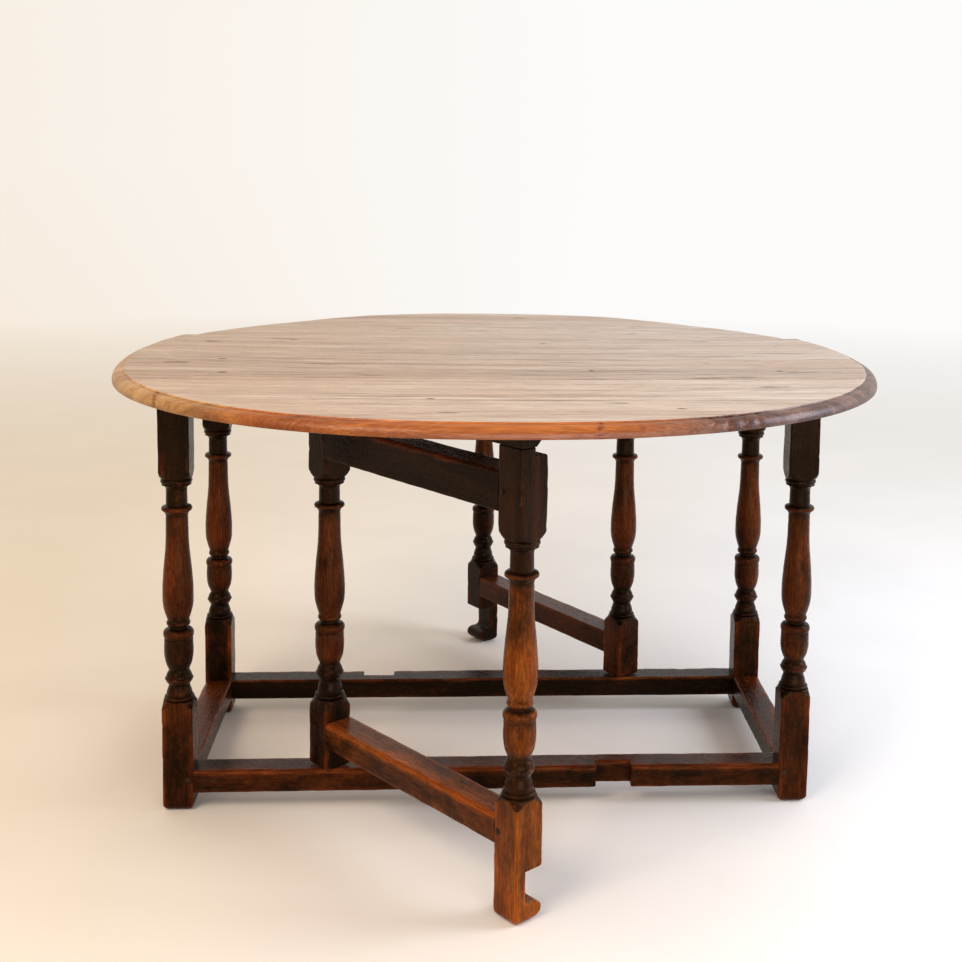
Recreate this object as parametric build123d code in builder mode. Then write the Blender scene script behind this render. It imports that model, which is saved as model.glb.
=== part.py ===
from build123d import *
from math import cos, pi, sin
import os

# A gateleg table, in millimetres, +Z up. The origin is on the floor below the middle of the top.
# The seams between the centre board and the leaves run along X; the front leaf is on the -Y side.

# Driving dimensions
HEIGHT = 740  # floor to the upper face of the top
TOP_THICKNESS = 22
TOP_HALF_X = 657  # half the length of the top, along the seams
TOP_HALF_Y = 652  # half the width of the top, across both leaves
TOP_POWER = 2.17  # exponent of the top's outline: 2 is an ellipse, more is squarer
BOARD_HALF = 244  # half the width of the centre board
SEAM_GAP = 2
FRAME_SHIFT = -12  # the frame stands a little to one side of the middle of the top
POST = 51  # side of every square section
FRAME_HALF_X = 519  # post axes
FRAME_HALF_Y = 204
PIVOT_X = 270  # from the middle of the frame to each gate's pivot axis
GATE_REACH = 480  # from a gate's pivot axis to the axis of its leg
FRONT_GATE_OPEN = 51  # degrees from closed to the modelled position
BACK_GATE_OPEN = 56

# Heights of the rails, from the floor
UNDERSIDE = HEIGHT - TOP_THICKNESS
TOP_RAIL = (688, UNDERSIDE)
STRETCHER = (31, 69)
GATE_LOWER_RAIL = (110, 153)
GATE_UPPER_RAIL = (600, 660)
GATE_LEG_TOP = 697

# The turning between the two square blocks of a post, from the lower one up, as stretches of points
# (radius, height): two points make a line, three an arc and more a curve. It starts and ends outside the
# corners of the square section, which is how the blocks get their rounded shoulders.
TURNING = (
    # bell and the rings on it
    ((37, 167), (33, 175), (27.4, 181.5)),
    ((27.4, 181.5), (25.8, 186)),
    ((25.8, 186), (22.8, 187.2)),
    ((22.8, 187.2), (24.6, 190), (23, 193)),
    ((23, 193), (20.8, 194.2)),
    ((20.8, 194.2), (20.7, 200), (18.8, 207), (17.2, 212)),
    ((17.2, 212), (17.2, 216)),
    # knop
    ((17.2, 216), (20, 220), (22.4, 225.5)),
    ((22.4, 225.5), (23.2, 227), (22.4, 228.6)),
    ((22.4, 228.6), (21.4, 229.6)),
    ((21.4, 229.6), (19.8, 235), (17.4, 239)),
    ((17.4, 239), (16.5, 242)),
    # cup, its collar and its neck
    ((16.5, 242), (21.8, 256), (23.6, 268), (23.4, 293)),
    ((23.4, 293), (22.6, 295)),
    ((22.6, 295), (24.6, 299.5), (24.7, 305)),
    ((24.7, 305), (22.4, 308.5), (15.4, 311)),
    ((15.4, 311), (15.2, 315)),
    ((15.2, 315), (18.9, 318), (19, 322)),
    ((19, 322), (17.6, 325)),
    # baluster
    ((17.6, 325), (24.3, 350), (25.2, 370), (23.4, 404), (19, 452), (18, 496)),
    ((18, 496), (19.4, 504), (24.2, 508.5)),
    ((24.2, 508.5), (25, 511.5), (23.6, 514.5)),
    # upper neck, lip and shoulder
    ((23.6, 514.5), (17.4, 516.5)),
    ((17.4, 516.5), (17, 542)),
    ((17, 542), (18.8, 548), (24.2, 551.5)),
    ((24.2, 551.5), (23.4, 554)),
    ((23.4, 554), (26, 557.5), (24.2, 561.5)),
    ((24.2, 561.5), (31, 569), (37, 590)),
)

# Joints of the frame
TENON_THICKNESS = 10
TENON_SHOULDER = 4
LONG_TENON = 24
SHORT_TENON = 19
GATE_TENON = 30
FIT = 0.2  # clearance round tenons, pegs and nails
PEG_RADIUS = 4
PEG_DEPTH = 34
PEG_PROUD = 1
PEG_SETBACK = 9.5  # from the shoulder of the tenon
PEG_STAGGER = 4
TOP_PEG_RADIUS = 5
TOP_PEG_DEPTH = 20  # into the top rail
TOP_PEG_SPOTS = (-450, 0, 450)

# Worn or eased edges
FOOT_EASE = 4
ARRIS = 5
EDGE_EASE = 1.5

# Pivots and half-laps of the gates
PIVOT_GAP = 1
PINTLE_RADIUS = 10
PINTLE_LENGTH = 19
PINTLE_CLEARANCE = 0.4
LAP_HALF_LENGTH = 30
LOW_LAP_DEPTH = 21  # cut into the outer side of a stretcher
LOW_NOTCH_DEPTH = 31.5  # cut into the inner side of a gate leg
LOW_NOTCH = (28, 80)
HIGH_NOTCH_DEPTH = 23.5
HIGH_NOTCH_FOOT = 684
HIGH_LAP_DEPTH = 29
HIGH_LAP_TOP = 700

# Top
LIP = 19  # thickness of the top outside the small step of its moulding
OVOLO = 15
STEP_INSET = 18
OUTLINE_POINTS = 36
CENTRE_JOINT = -35
LEAF_JOINT = 455
BEARER_X = (-50, POST / 2)  # the block between a leaf and its gate leg, in the leg's directions
BEARER_Y = (-POST / 2, 12)
BEARER_FOOT = 697.6
BEARER_EASE = 10

# Hinges
HINGE_SPOTS = (-380, 380)
HINGE_DROP = 5.5  # from the underside of the top to the hinge axis
PLATE_THICKNESS = 2.5
PLATE_LENGTH = 40
PLATE_WIDTH = 60
KNUCKLE_RADIUS = 5
KNUCKLE_LENGTH = 10
KNUCKLE_GAP = 0.4
PLATE_START = 5.5  # from the hinge axis, clear of the other plate's knuckles
PLATE_NECK = 30  # width of a plate beside its knuckles
HINGE_PIN_RADIUS = 2.5
HINGE_PIN_FIT = 0.1
PIN_HEAD_RADIUS = 4
PIN_HEAD_LENGTH = 2
HOUSING_CLEARANCE = 1
NAIL_RADIUS = 1.4
NAIL_DEPTH = 14  # into the wood
NAIL_HEAD_RADIUS = 3.6
NAIL_HEAD_HEIGHT = 1.6
PLATE_NAILS = ((-20, 32), (20, 32), (0, 20))  # along the seam, away from the seam
BEARER_NAILS = ((-38, -14), (-38, 1))  # in the gate leg's directions, clear of its top
BEARER_NAIL_DEPTH = 10

HALF = POST / 2
UP = Vector(0, 0, 1)


def side(x, y, direction):
    """The plane of one side of the frame: its x runs along the side and its y points into the frame."""
    return Plane(origin=(x + FRAME_SHIFT, y, 0), x_dir=direction, z_dir=UP)


SIDES = {
    "front": side(0, -FRAME_HALF_Y, (1, 0, 0)),
    "right": side(FRAME_HALF_X, 0, (0, 1, 0)),
    "back": side(0, FRAME_HALF_Y, (-1, 0, 0)),
    "left": side(-FRAME_HALF_X, 0, (0, -1, 0)),
}
SPAN = {"front": FRAME_HALF_X, "right": FRAME_HALF_Y, "back": FRAME_HALF_X, "left": FRAME_HALF_Y}
TENON = {"front": LONG_TENON, "right": SHORT_TENON, "back": LONG_TENON, "left": SHORT_TENON}
STAGGER = {"front": PEG_STAGGER, "right": -PEG_STAGGER, "back": PEG_STAGGER, "left": -PEG_STAGGER}
CORNERS = {
    "front_right": (("front", 1), ("right", -1)),
    "back_right": (("right", 1), ("back", -1)),
    "back_left": (("back", 1), ("left", -1)),
    "front_left": (("left", 1), ("front", -1)),
}


def shifted(base, x, turn=0):
    """base moved along its own x, then turned about +Z by turn degrees."""
    return Plane(base.location * Location((x, 0, 0), (0, 0, turn)))


def slab(base, x, y, z, mode=Mode.ADD):
    """A block between the given limits, in base's own directions."""
    middle = Location(((x[0] + x[1]) / 2, (y[0] + y[1]) / 2, (z[0] + z[1]) / 2))
    with Locations(base.location * middle):
        Box(x[1] - x[0], y[1] - y[0], z[1] - z[0], mode=mode)


def tenon(base, shoulder, direction, length, rail, fit=0, mode=Mode.ADD):
    """A tenon that runs from its shoulder along base's x, or its mortise where fit is given."""
    x = sorted((shoulder - direction * fit, shoulder + direction * (length + fit)))
    y = TENON_THICKNESS / 2 + fit
    slab(base, x, (-y, y), (rail[0] + TENON_SHOULDER - fit, rail[1] - TENON_SHOULDER + fit), mode)


def across(base, x, z, radius, y, mode=Mode.ADD):
    """A cylinder along base's y, between the limits y."""
    with Locations(base.location * Location((x, (y[0] + y[1]) / 2, z), (90, 0, 0))):
        Cylinder(radius, y[1] - y[0], mode=mode)


def upright(base, x, y, radius, z, mode=Mode.ADD):
    """A cylinder along +Z, between the limits z."""
    with Locations(base.location * Location((x, y, (z[0] + z[1]) / 2))):
        Cylinder(radius, z[1] - z[0], mode=mode)


def along(base, x, length, radius, mode=Mode.ADD):
    """A cylinder round a hinge's axis, its middle at x."""
    with Locations(base.location * Location((x, 0, -HINGE_DROP), (0, 90, 0))):
        Cylinder(radius, length, mode=mode)


def peg_hole(base, x, z):
    across(base, x, z, PEG_RADIUS + FIT, (-HALF - FIT, PEG_DEPTH - HALF + FIT), Mode.SUBTRACT)


def peg(base, x, z):
    across(base, x, z, PEG_RADIUS, (-HALF - PEG_PROUD, PEG_DEPTH - HALF))


def middle(rail):
    return (rail[0] + rail[1]) / 2


def save(piece, name):
    piece.label = name
    export_step(piece, f"parts/{name}.step")


def turned(base, foot, head):
    """A square piece with the turning that all the posts share, upright on base, between two heights."""
    with BuildPart() as piece:
        with BuildSketch(Plane(origin=base.origin, x_dir=base.x_dir, z_dir=base.x_dir.cross(UP))):
            with BuildLine():
                start, end = TURNING[0][0], TURNING[-1][-1]
                Polyline((0, foot), (start[0], foot), start)
                for points in TURNING:
                    if len(points) == 2:
                        Line(*points)
                    elif len(points) == 3:
                        ThreePointArc(*points)
                    else:
                        Spline(*points)
                Polyline(end, (end[0], head), (0, head), (0, foot))
            make_face()
        revolve(axis=Axis(base.origin, UP))
        slab(base, (-HALF, HALF), (-HALF, HALF), (foot, head), Mode.INTERSECT)
    return piece.part


def rail(base, ends, z, tenon_length, stagger=0):
    """A rail as deep as the posts, with an eased outer top edge and a pegged tenon at both ends.

    Its pegs stand above its middle by stagger, so that they miss those of the rail across the corner."""
    with BuildPart() as piece:
        slab(base, ends, (-HALF, HALF), z)
        long_edges = piece.edges().filter_by(Axis((0, 0, 0), base.x_dir))
        top_edges = long_edges.group_by(Axis.Z)[-1].sort_by(Axis(base.origin, base.y_dir))
        chamfer(top_edges[0], EDGE_EASE if z == TOP_RAIL else ARRIS)
        for end, direction in zip(ends, (-1, 1)):
            tenon(base, end, direction, tenon_length, z)
            peg_hole(base, end + direction * PEG_SETBACK, middle(z) + stagger)
    return piece.part


def outline(inset):
    """Points of the top's outline, a superellipse, drawn in by inset."""
    points = []
    for k in range(OUTLINE_POINTS):
        angle = 2 * pi * (k + 0.5) / OUTLINE_POINTS
        c, s = cos(angle), sin(angle)
        x = abs(c) ** (2 / TOP_POWER) * (TOP_HALF_X - inset)
        y = abs(s) ** (2 / TOP_POWER) * (TOP_HALF_Y - inset)
        points.append((x if c > 0 else -x, y if s > 0 else -y))
    return points


def board(y0, y1):
    """The stretch of the top between two lines along X, with the moulding on its part of the outline."""
    layers = ((UNDERSIDE, LIP, 0), (UNDERSIDE + LIP, TOP_THICKNESS - LIP, STEP_INSET))
    with BuildPart() as piece:
        for foot, thickness, inset in layers:
            with BuildSketch(Plane.XY.offset(foot)):
                with BuildLine():
                    Spline(*outline(inset), periodic=True)
                make_face()
                with Locations((0, (y0 + y1) / 2)):
                    Rectangle(3 * TOP_HALF_X, y1 - y0, mode=Mode.INTERSECT)
            extrude(amount=thickness)
            if inset == 0:
                rim = piece.edges().group_by(Axis.Z)[-1].filter_by(GeomType.LINE, reverse=True)
                fillet(rim, OVOLO)
    return piece.part


def hinge_axis(base, spot, away):
    """A hinge's own directions: x along its pin, y from the pin along its plate, at the underside."""
    y = FRAME_HALF_Y - BOARD_HALF - SEAM_GAP / 2
    return Plane(base.location * Location((spot, y, UNDERSIDE), (0, 0, 180 if away else 0)))


def plate(hinge, knuckles):
    """A butterfly plate with its knuckles, each given by the middle of its length along the pin."""
    neck, end = PLATE_NECK / 2, PLATE_WIDTH / 2
    length = KNUCKLE_LENGTH - KNUCKLE_GAP
    with BuildPart() as piece:
        with BuildSketch(hinge.offset(-PLATE_THICKNESS)):
            with BuildLine():
                near, far = PLATE_START, PLATE_LENGTH
                Polyline((-neck, near), (neck, near), (end, far), (-end, far), close=True)
            make_face()
        extrude(amount=PLATE_THICKNESS)
        for x in knuckles:
            slab(hinge, (x - length / 2, x + length / 2), (0, PLATE_START + 1), (-PLATE_THICKNESS, 0))
            along(hinge, x, length, KNUCKLE_RADIUS)
            along(hinge, x, length, HINGE_PIN_RADIUS + HINGE_PIN_FIT, Mode.SUBTRACT)
        for x, y in PLATE_NAILS:
            upright(hinge, x, y, NAIL_RADIUS + FIT, (-PLATE_THICKNESS, 0), Mode.SUBTRACT)
    return piece.part


def nail(base, x, y, head, depth):
    """A nail driven upwards: its head ends at the height head, its shank at the height depth."""
    upright(base, x, y, NAIL_RADIUS, (head, depth))
    with Locations(base.location * Location((x, y, head - NAIL_HEAD_HEIGHT / 2))):
        Cone(NAIL_RADIUS, NAIL_HEAD_RADIUS, NAIL_HEAD_HEIGHT)


def plate_nails(name, away):
    """Where the nails go of the plates on one side of the frame, as (plane at the underside, x, y)."""
    return [(hinge_axis(SIDES[name], spot, away), x, y) for spot in HINGE_SPOTS for x, y in PLATE_NAILS]


GATES = {
    "front": shifted(SIDES["front"], -PIVOT_X, -FRONT_GATE_OPEN),
    "back": shifted(SIDES["back"], -PIVOT_X, -BACK_GATE_OPEN),
}
PIVOT_POST = (STRETCHER[1] + PIVOT_GAP, TOP_RAIL[0] - PIVOT_GAP)
PINTLES = (PIVOT_POST[0] - PINTLE_LENGTH, PIVOT_POST[1] + PINTLE_LENGTH)
LAP = (GATE_REACH - PIVOT_X - LAP_HALF_LENGTH, GATE_REACH - PIVOT_X + LAP_HALF_LENGTH)

os.makedirs("parts", exist_ok=True)

# Corner posts
for corner, joints in CORNERS.items():
    first, direction = joints[0]
    with BuildPart() as post:
        add(turned(shifted(SIDES[first], direction * SPAN[first]), 0, UNDERSIDE))
        chamfer(post.edges().group_by(Axis.Z)[0], FOOT_EASE)
        for name, direction in joints:
            shoulder = direction * (SPAN[name] - HALF)
            for z in (STRETCHER, TOP_RAIL):
                tenon(SIDES[name], shoulder, direction, TENON[name], z, FIT, Mode.SUBTRACT)
                peg_hole(SIDES[name], shoulder + direction * PEG_SETBACK, middle(z) + STAGGER[name])
    save(post.part, f"post_{corner}")

# Stretchers near the floor, and the top rails
for name, base in SIDES.items():
    ends = (HALF - SPAN[name], SPAN[name] - HALF)
    with BuildPart() as stretcher:
        add(rail(base, ends, STRETCHER, TENON[name], STAGGER[name]))
        if name in GATES:
            slab(base, LAP, (-HALF - FIT, LOW_LAP_DEPTH - HALF), (0, STRETCHER[1] + FIT), Mode.SUBTRACT)
            hole = (PINTLES[0] - PIVOT_GAP, STRETCHER[1] + FIT)
            upright(base, -PIVOT_X, 0, PINTLE_RADIUS + PINTLE_CLEARANCE, hole, Mode.SUBTRACT)
    save(stretcher.part, f"stretcher_{name}")

    with BuildPart() as top_rail:
        add(rail(base, ends, TOP_RAIL, TENON[name], STAGGER[name]))
        if name in GATES:
            slab(base, LAP, (-HALF - FIT, HIGH_LAP_DEPTH - HALF), (0, HIGH_LAP_TOP), Mode.SUBTRACT)
            hole = (TOP_RAIL[0] - FIT, PINTLES[1] + PIVOT_GAP)
            upright(base, -PIVOT_X, 0, PINTLE_RADIUS + PINTLE_CLEARANCE, hole, Mode.SUBTRACT)
            for spot in HINGE_SPOTS:
                width = PLATE_WIDTH / 2 + HOUSING_CLEARANCE
                length = PLATE_LENGTH + HOUSING_CLEARANCE
                depth = PLATE_THICKNESS + NAIL_HEAD_HEIGHT + HOUSING_CLEARANCE
                hinge = hinge_axis(base, spot, away=False)
                slab(hinge, (-width, width), (0, length), (-depth, FIT), Mode.SUBTRACT)
            for spot in TOP_PEG_SPOTS:
                hole = (UNDERSIDE - TOP_PEG_DEPTH, UNDERSIDE + FIT)
                upright(base, spot, 0, TOP_PEG_RADIUS + FIT, hole, Mode.SUBTRACT)
    save(top_rail.part, f"top_rail_{name}")

# Pegs of the frame
for level, z in (("lower", STRETCHER), ("upper", TOP_RAIL)):
    with BuildPart() as pegs:
        for name, base in SIDES.items():
            for direction in (-1, 1):
                x = direction * (SPAN[name] - HALF + PEG_SETBACK)
                peg(base, x, middle(z) + STAGGER[name])
    save(pegs.part, f"frame_pegs_{level}")

# Gates
for name, gate in GATES.items():
    rails = {"lower": GATE_LOWER_RAIL, "upper": GATE_UPPER_RAIL}
    ends = (HALF, GATE_REACH - HALF)

    with BuildPart() as pivot_post:
        add(turned(gate, *PIVOT_POST))
        for z in rails.values():
            tenon(gate, ends[0], -1, GATE_TENON, z, FIT, Mode.SUBTRACT)
            peg_hole(gate, ends[0] - PEG_SETBACK, middle(z))
        upright(gate, 0, 0, PINTLE_RADIUS, (PINTLES[0], PIVOT_POST[0]))
        upright(gate, 0, 0, PINTLE_RADIUS, (PIVOT_POST[1], PINTLES[1]))
    save(pivot_post.part, f"{name}_gate_pivot_post")

    leg_base = shifted(gate, GATE_REACH)
    with BuildPart() as leg:
        add(turned(leg_base, 0, GATE_LEG_TOP))
        chamfer(leg.edges().group_by(Axis.Z)[0], FOOT_EASE)
        for z in rails.values():
            tenon(gate, ends[1], 1, GATE_TENON, z, FIT, Mode.SUBTRACT)
            peg_hole(gate, ends[1] + PEG_SETBACK, middle(z))
        for depth, z in ((LOW_NOTCH_DEPTH, LOW_NOTCH), (HIGH_NOTCH_DEPTH, (HIGH_NOTCH_FOOT, HEIGHT))):
            slab(leg_base, (-POST, POST), (HALF - depth, POST), z, Mode.SUBTRACT)
    save(leg.part, f"{name}_gate_leg")

    for level, z in rails.items():
        with BuildPart() as gate_rail:
            add(rail(gate, ends, z, GATE_TENON))
        save(gate_rail.part, f"{name}_gate_{level}_rail")

    with BuildPart() as gate_pegs:
        for z in rails.values():
            peg(gate, ends[0] - PEG_SETBACK, middle(z))
            peg(gate, ends[1] + PEG_SETBACK, middle(z))
    save(gate_pegs.part, f"{name}_gate_pegs")

# The top: planks, with the holes for what is driven into them
BEARER_PLANES = {name: shifted(gate, GATE_REACH).offset(UNDERSIDE) for name, gate in GATES.items()}
leaf_edge = BOARD_HALF + SEAM_GAP
beyond = TOP_HALF_Y + 1
PLANKS = {
    "front_leaf_outer_plank": (-beyond, -LEAF_JOINT),
    "front_leaf_inner_plank": (-LEAF_JOINT, -leaf_edge),
    "centre_plank_front": (-BOARD_HALF, CENTRE_JOINT),
    "centre_plank_back": (CENTRE_JOINT, BOARD_HALF),
    "back_leaf_inner_plank": (leaf_edge, LEAF_JOINT),
    "back_leaf_outer_plank": (LEAF_JOINT, beyond),
}
for plank_name, limits in PLANKS.items():
    name = "front" if limits[0] < CENTRE_JOINT else "back"
    with BuildPart() as plank:
        add(board(*limits))
        if "outer" in plank_name:
            for x, y in BEARER_NAILS:
                hole = (0, BEARER_NAIL_DEPTH)
                upright(BEARER_PLANES[name], x, y, NAIL_RADIUS + FIT, hole, Mode.SUBTRACT)
        else:
            for hinge, x, y in plate_nails(name, away="leaf" in plank_name):
                upright(hinge, x, y, NAIL_RADIUS + FIT, (0, NAIL_DEPTH), Mode.SUBTRACT)
        if "centre" in plank_name:
            for spot in TOP_PEG_SPOTS:
                hole = (UNDERSIDE, HEIGHT)
                upright(SIDES[name], spot, 0, TOP_PEG_RADIUS + FIT, hole, Mode.SUBTRACT)
    save(plank.part, plank_name)

with BuildPart() as top_pegs:
    for name in GATES:
        for spot in TOP_PEG_SPOTS:
            length = (UNDERSIDE - TOP_PEG_DEPTH, HEIGHT - FIT)
            upright(SIDES[name], spot, 0, TOP_PEG_RADIUS, length)
save(top_pegs.part, "top_pegs")

# Bearing blocks under the leaves, over the open gate legs
for name, plane in BEARER_PLANES.items():
    with BuildPart() as bearer:
        slab(plane, BEARER_X, BEARER_Y, (BEARER_FOOT - UNDERSIDE, 0))
        inner_foot = bearer.edges().filter_by(Axis((0, 0, 0), plane.x_dir)).group_by(Axis.Z)[0]
        chamfer(inner_foot.sort_by(Axis(plane.origin, plane.y_dir))[-1], BEARER_EASE)
        for x, y in BEARER_NAILS:
            hole = (BEARER_FOOT - UNDERSIDE, 0)
            upright(plane, x, y, NAIL_RADIUS + FIT, hole, Mode.SUBTRACT)
    save(bearer.part, f"{name}_leaf_bearer")

# Iron hinges and their nails
for name in GATES:
    with BuildPart() as fixed_plates:
        for spot in HINGE_SPOTS:
            add(plate(hinge_axis(SIDES[name], spot, away=False), (-KNUCKLE_LENGTH, KNUCKLE_LENGTH)))
    save(fixed_plates.part, f"{name}_hinge_fixed_plates")

    with BuildPart() as leaf_plates:
        for spot in HINGE_SPOTS:
            add(plate(hinge_axis(SIDES[name], spot, away=True), (0,)))
    save(leaf_plates.part, f"{name}_hinge_leaf_plates")

    with BuildPart() as pins:
        for spot in HINGE_SPOTS:
            hinge = hinge_axis(SIDES[name], spot, away=False)
            along(hinge, 0, 3 * KNUCKLE_LENGTH, HINGE_PIN_RADIUS)
            for end in (-1, 1):
                x = end * (3 * KNUCKLE_LENGTH + PIN_HEAD_LENGTH) / 2
                along(hinge, x, PIN_HEAD_LENGTH, PIN_HEAD_RADIUS)
    save(pins.part, f"{name}_hinge_pins")

    with BuildPart() as leaf_nails:
        for hinge, x, y in plate_nails(name, away=True):
            nail(hinge, x, y, -PLATE_THICKNESS, NAIL_DEPTH - FIT)
        for x, y in BEARER_NAILS:
            nail(BEARER_PLANES[name], x, y, BEARER_FOOT - UNDERSIDE, BEARER_NAIL_DEPTH - FIT)
    save(leaf_nails.part, f"{name}_leaf_nails")

with BuildPart() as frame_nails:
    for name in GATES:
        for hinge, x, y in plate_nails(name, away=False):
            nail(hinge, x, y, -PLATE_THICKNESS, NAIL_DEPTH - FIT)
save(frame_nails.part, "frame_hinge_nails")
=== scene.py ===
import math

import bmesh
import bpy
import numpy as np
from mathutils import Matrix, Vector


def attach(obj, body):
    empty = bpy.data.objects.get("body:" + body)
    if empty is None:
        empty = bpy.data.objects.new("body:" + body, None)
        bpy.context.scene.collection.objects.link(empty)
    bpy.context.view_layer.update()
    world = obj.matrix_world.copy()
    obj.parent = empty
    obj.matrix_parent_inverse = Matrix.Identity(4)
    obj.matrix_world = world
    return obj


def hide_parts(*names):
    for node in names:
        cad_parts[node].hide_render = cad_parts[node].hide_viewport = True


# A gateleg table in old oak, open, on a pale studio floor. The shapes are worked out in millimetres in
# each piece's own directions, as the CAD parts are, and become metres in the row frame when a mesh is made.

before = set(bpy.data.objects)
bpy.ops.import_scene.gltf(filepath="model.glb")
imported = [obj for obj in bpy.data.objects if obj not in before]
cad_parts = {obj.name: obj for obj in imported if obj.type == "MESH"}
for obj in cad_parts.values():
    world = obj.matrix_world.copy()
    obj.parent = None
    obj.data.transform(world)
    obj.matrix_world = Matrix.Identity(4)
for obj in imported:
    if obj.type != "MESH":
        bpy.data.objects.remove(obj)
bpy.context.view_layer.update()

MM = 0.001
HEIGHT = 740
UNDERSIDE = 718
TOP_HALF = (657, 652)
TOP_POWER = 2.17
PLANKS = {  # the lines along X that bound each plank
    "front_leaf_outer_plank": (-700, -455),
    "front_leaf_inner_plank": (-455, -246),
    "centre_plank_front": (-244, -35),
    "centre_plank_back": (-35, 244),
    "back_leaf_inner_plank": (246, 455),
    "back_leaf_outer_plank": (455, 700),
}
HALF = 25.5  # half a square section
POST_X, POST_Y, FRAME_SHIFT = 519, 204, -12
PIVOT_X = 270
GATE_REACH = 480
LAP = (180, 240)  # where a closed gate leg crosses a rail, from the middle of the side
LAP_DEPTH = 21  # cut into the outer side of a stretcher there
GATE_ANGLES = {"front": 51, "back": 56}
STRETCHER = (31, 69)
GATE_RAILS = {"lower": (110, 153), "upper": (600, 660)}
GATE_LEG_TOP = 697
PIVOT_POST = (70, 687)  # from the stretcher to the top rail, with a gap at both ends
PINTLE_LENGTH = 19
PINTLE_RADIUS = 10

# The turning, from the lower block to the upper one, as stretches of (radius, height): two points make a
# line, three an arc and more a curve.
TURNING = (
    ((37, 167), (33, 175), (27.4, 181.5)),
    ((27.4, 181.5), (26.9, 184), (25.8, 186)),
    ((25.8, 186), (22.8, 187.2)),
    ((22.8, 187.2), (24.6, 190), (23, 193)),
    ((23, 193), (20.8, 194.2)),
    ((20.8, 194.2), (20.7, 200), (18.8, 207), (17.2, 212)),
    ((17.2, 212), (17.2, 216)),
    ((17.2, 216), (20, 220), (22.4, 225.5)),
    ((22.4, 225.5), (23.2, 227), (22.4, 228.6)),
    ((22.4, 228.6), (21.4, 229.6)),
    ((21.4, 229.6), (19.8, 235), (17.4, 239)),
    ((17.4, 239), (16.5, 242)),
    ((16.5, 242), (21.8, 256), (23.6, 268), (23.4, 293)),
    ((23.4, 293), (22.6, 295)),
    ((22.6, 295), (24.6, 299.5), (24.7, 305)),
    ((24.7, 305), (22.4, 308.5), (15.4, 311)),
    ((15.4, 311), (15.2, 315)),
    ((15.2, 315), (18.9, 318), (19, 322)),
    ((19, 322), (17.6, 325)),
    ((17.6, 325), (24.3, 350), (25.2, 370), (23.4, 404), (19, 452), (18, 496)),
    ((18, 496), (19.4, 504), (24.2, 508.5)),
    ((24.2, 508.5), (25, 511.5), (23.6, 514.5)),
    ((23.6, 514.5), (17.4, 516.5)),
    ((17.4, 516.5), (17, 542)),
    ((17, 542), (18.8, 548), (24.2, 551.5)),
    ((24.2, 551.5), (23.4, 554)),
    ((23.4, 554), (26, 557.5), (24.2, 561.5)),
    ((24.2, 561.5), (31, 569), (37, 590)),
)
TURNING_WEAR = (  # how worn the turning is, as (height, wear)
    (167, 0.16), (200, 0.2), (240, 0.24), (262, 0.5), (298, 0.42), (312, 0.16), (335, 0.56), (400, 0.62),
    (495, 0.44), (520, 0.12), (590, 0.05),
)
TURNING_KEYS = (167, 228, 305, 511, 590)  # heights between which a maker's unevenness is spread
SQUARE = 99  # a radius of the turning beyond every corner, which leaves the section square

# How far the inner side of a gate leg stands from its axis, as (height, distance): a rounded toe, the
# notch that closes over the stretcher, and the notch under the top rail.
LEG_INNER_SIDE = (
    (0, 4), (1.5, 10), (4, 15.5), (8, 20.5), (12, 23.6),
    (16, 25.2), (19, 25.3), (23, 23.4), (26, 20), (28, 15),
    (28.1, 2), (29.5, -2), (33, -5), (37, -6), (79.8, -6), (80, 21.5), (81, 24.5), (83, 25.5),
    (681, 25.5), (683.8, 23.5), (684, 2), (700, 2),
)


# Shapes

def ripple(along, seed, wavelength):
    """An irregular wave along some length, between -1 and 1."""
    phases = np.random.default_rng(seed).uniform(0, 2 * math.pi, 3)
    turns = 2 * math.pi * np.asarray(along, float) / wavelength
    weights, rates = (1, 0.7, 0.5), (1, 1.73, 2.91)
    waves = [weight * np.sin(rate * turns + p) for weight, rate, p in zip(weights, rates, phases)]
    return sum(waves) / 2.2


def through(points, spacing=1.5):
    """Points close together on a line, on the arc through three points or on a curve through more."""
    points = np.array(points, float)
    chords = np.linalg.norm(np.diff(points, axis=0), axis=1)
    at = np.concatenate(([0], np.cumsum(chords)))
    t = np.linspace(0, at[-1], max(2, round(at[-1] / spacing)) + 1)
    if len(points) == 2:
        return points[0] + np.outer(t / at[-1], points[1] - points[0])
    if len(points) == 3:
        (ax, ay), (bx, by), (cx, cy) = points
        system = np.array(((bx - ax, by - ay), (cx - ax, cy - ay)))
        squares = (points**2).sum(1)
        centre = np.linalg.solve(system, (squares[1:] - squares[0]) / 2)
        angles = np.unwrap(np.arctan2(*(points - centre).T[::-1]))
        turn = angles[0] + (angles[2] - angles[0]) * t / at[-1]
        return centre + np.hypot(*(points[0] - centre)) * np.stack((np.cos(turn), np.sin(turn)), 1)
    slopes = np.gradient(points, at, axis=0)
    k = np.clip(np.searchsorted(at, t, side="right") - 1, 0, len(points) - 2)
    step = chords[k]
    u = ((t - at[k]) / step)[:, None]
    step = step[:, None]
    return (
        (2 * u**3 - 3 * u**2 + 1) * points[k] + (u**3 - 2 * u**2 + u) * step * slopes[k]
        + (3 * u**2 - 2 * u**3) * points[k + 1] + (u**3 - u**2) * step * slopes[k + 1]
    )


CORNER_STEPS, FLAT_STEPS = 5, 9


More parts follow.
